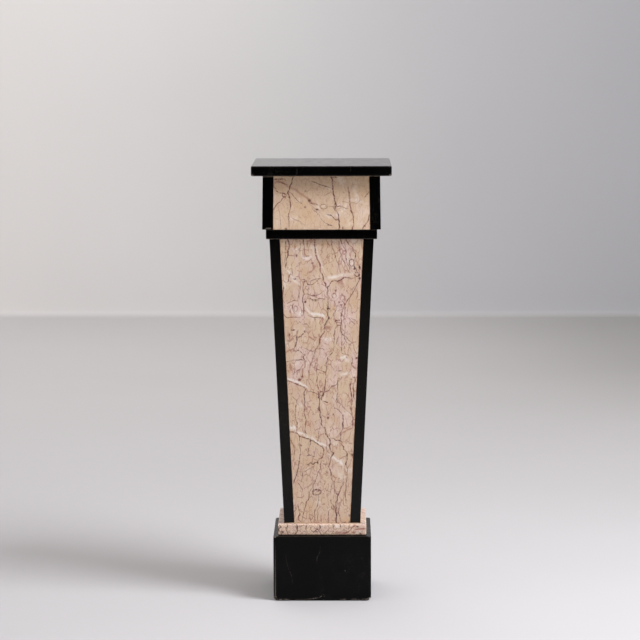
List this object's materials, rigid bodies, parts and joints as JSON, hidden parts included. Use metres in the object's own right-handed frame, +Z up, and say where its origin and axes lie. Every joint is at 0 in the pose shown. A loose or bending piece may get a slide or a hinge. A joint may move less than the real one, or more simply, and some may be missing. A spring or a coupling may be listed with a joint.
{
  "type": "marble pedestal",
  "caption": "Square marble pedestal with a black top slab, a veined capital, a downward-tapering shaft with black corner posts, a rose course and a black plinth.",
  "frame": {"origin": "on the ground under the middle of the plinth", "axes": "+Z up the pedestal, the front (the pictured side) towards -Y, +X to the right seen from the front"},
  "size_m": [0.315, 0.315, 1],
  "materials": {
    "black_marble": "polished black marble with faint pale hairlines, worn along its arrises",
    "cream_marble": "polished cream marble with plum-brown veins and white calcite bands",
    "rose_marble": "polished rose marble with red-brown veins"
  },
  "bodies": {
    "root": {"plinth": "black_marble", "base_course": "rose_marble", "shaft_panel_front": "cream_marble", "shaft_panel_right": "cream_marble", "shaft_panel_back": "cream_marble", "shaft_panel_left": "cream_marble", "shaft_post_front_left": "black_marble", "shaft_post_front_right": "black_marble", "shaft_post_back_right": "black_marble", "shaft_post_back_left": "black_marble", "necking_slab": "black_marble", "capital_panel_front": "cream_marble", "capital_panel_right": "cream_marble", "capital_panel_back": "cream_marble", "capital_panel_left": "cream_marble", "capital_post_front_left": "black_marble", "capital_post_front_right": "black_marble", "capital_post_back_right": "black_marble", "capital_post_back_left": "black_marble", "top_slab": "black_marble"}
  },
  "joints": []
}
